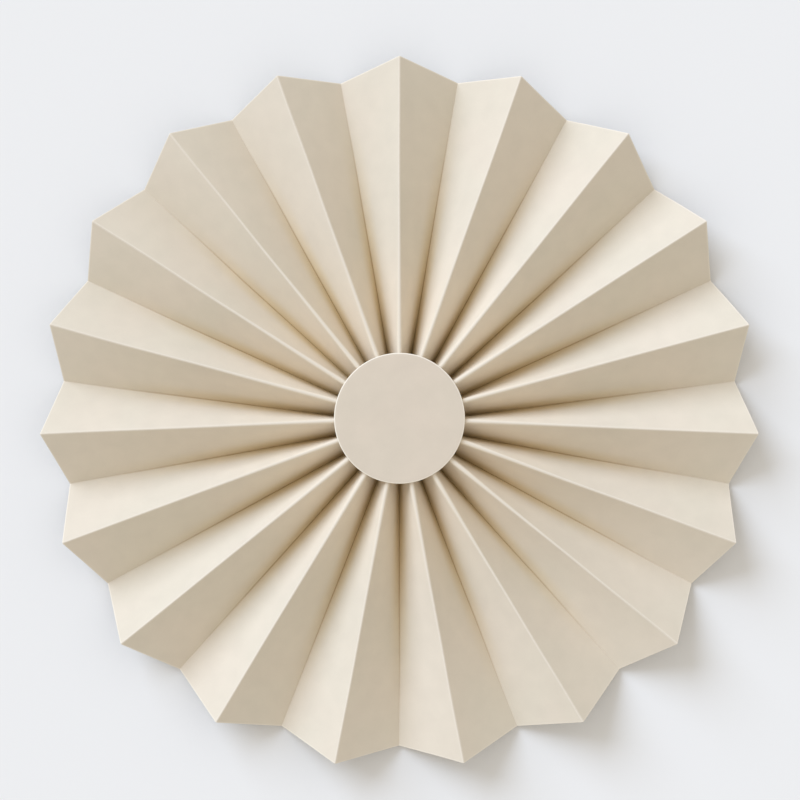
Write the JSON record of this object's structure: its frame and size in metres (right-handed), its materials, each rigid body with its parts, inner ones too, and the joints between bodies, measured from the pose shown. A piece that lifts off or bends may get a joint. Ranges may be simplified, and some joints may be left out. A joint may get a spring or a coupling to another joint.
{
  "type": "paper fan rosette",
  "caption": "Round pleated paper fan rosette with a pointed rim, gathered at the centre and held by a card disc on each face; wall and gift decoration.",
  "frame": {"origin": "centre of the back disc's rear face", "axes": "+Z out of the front of the rosette along its axis, +Y towards the mountain fold at the top of the fan, +X to the right seen from the front"},
  "size_m": [0.2086, 0.2055, 0.0141],
  "materials": {
    "pleated_paper": "matte cream card, lighter along the creases",
    "disc_card": "matte cream card with a cut edge"
  },
  "bodies": {
    "root": {"pleated_fan": "pleated_paper", "front_disc": "disc_card", "back_disc": "disc_card"}
  },
  "joints": []
}
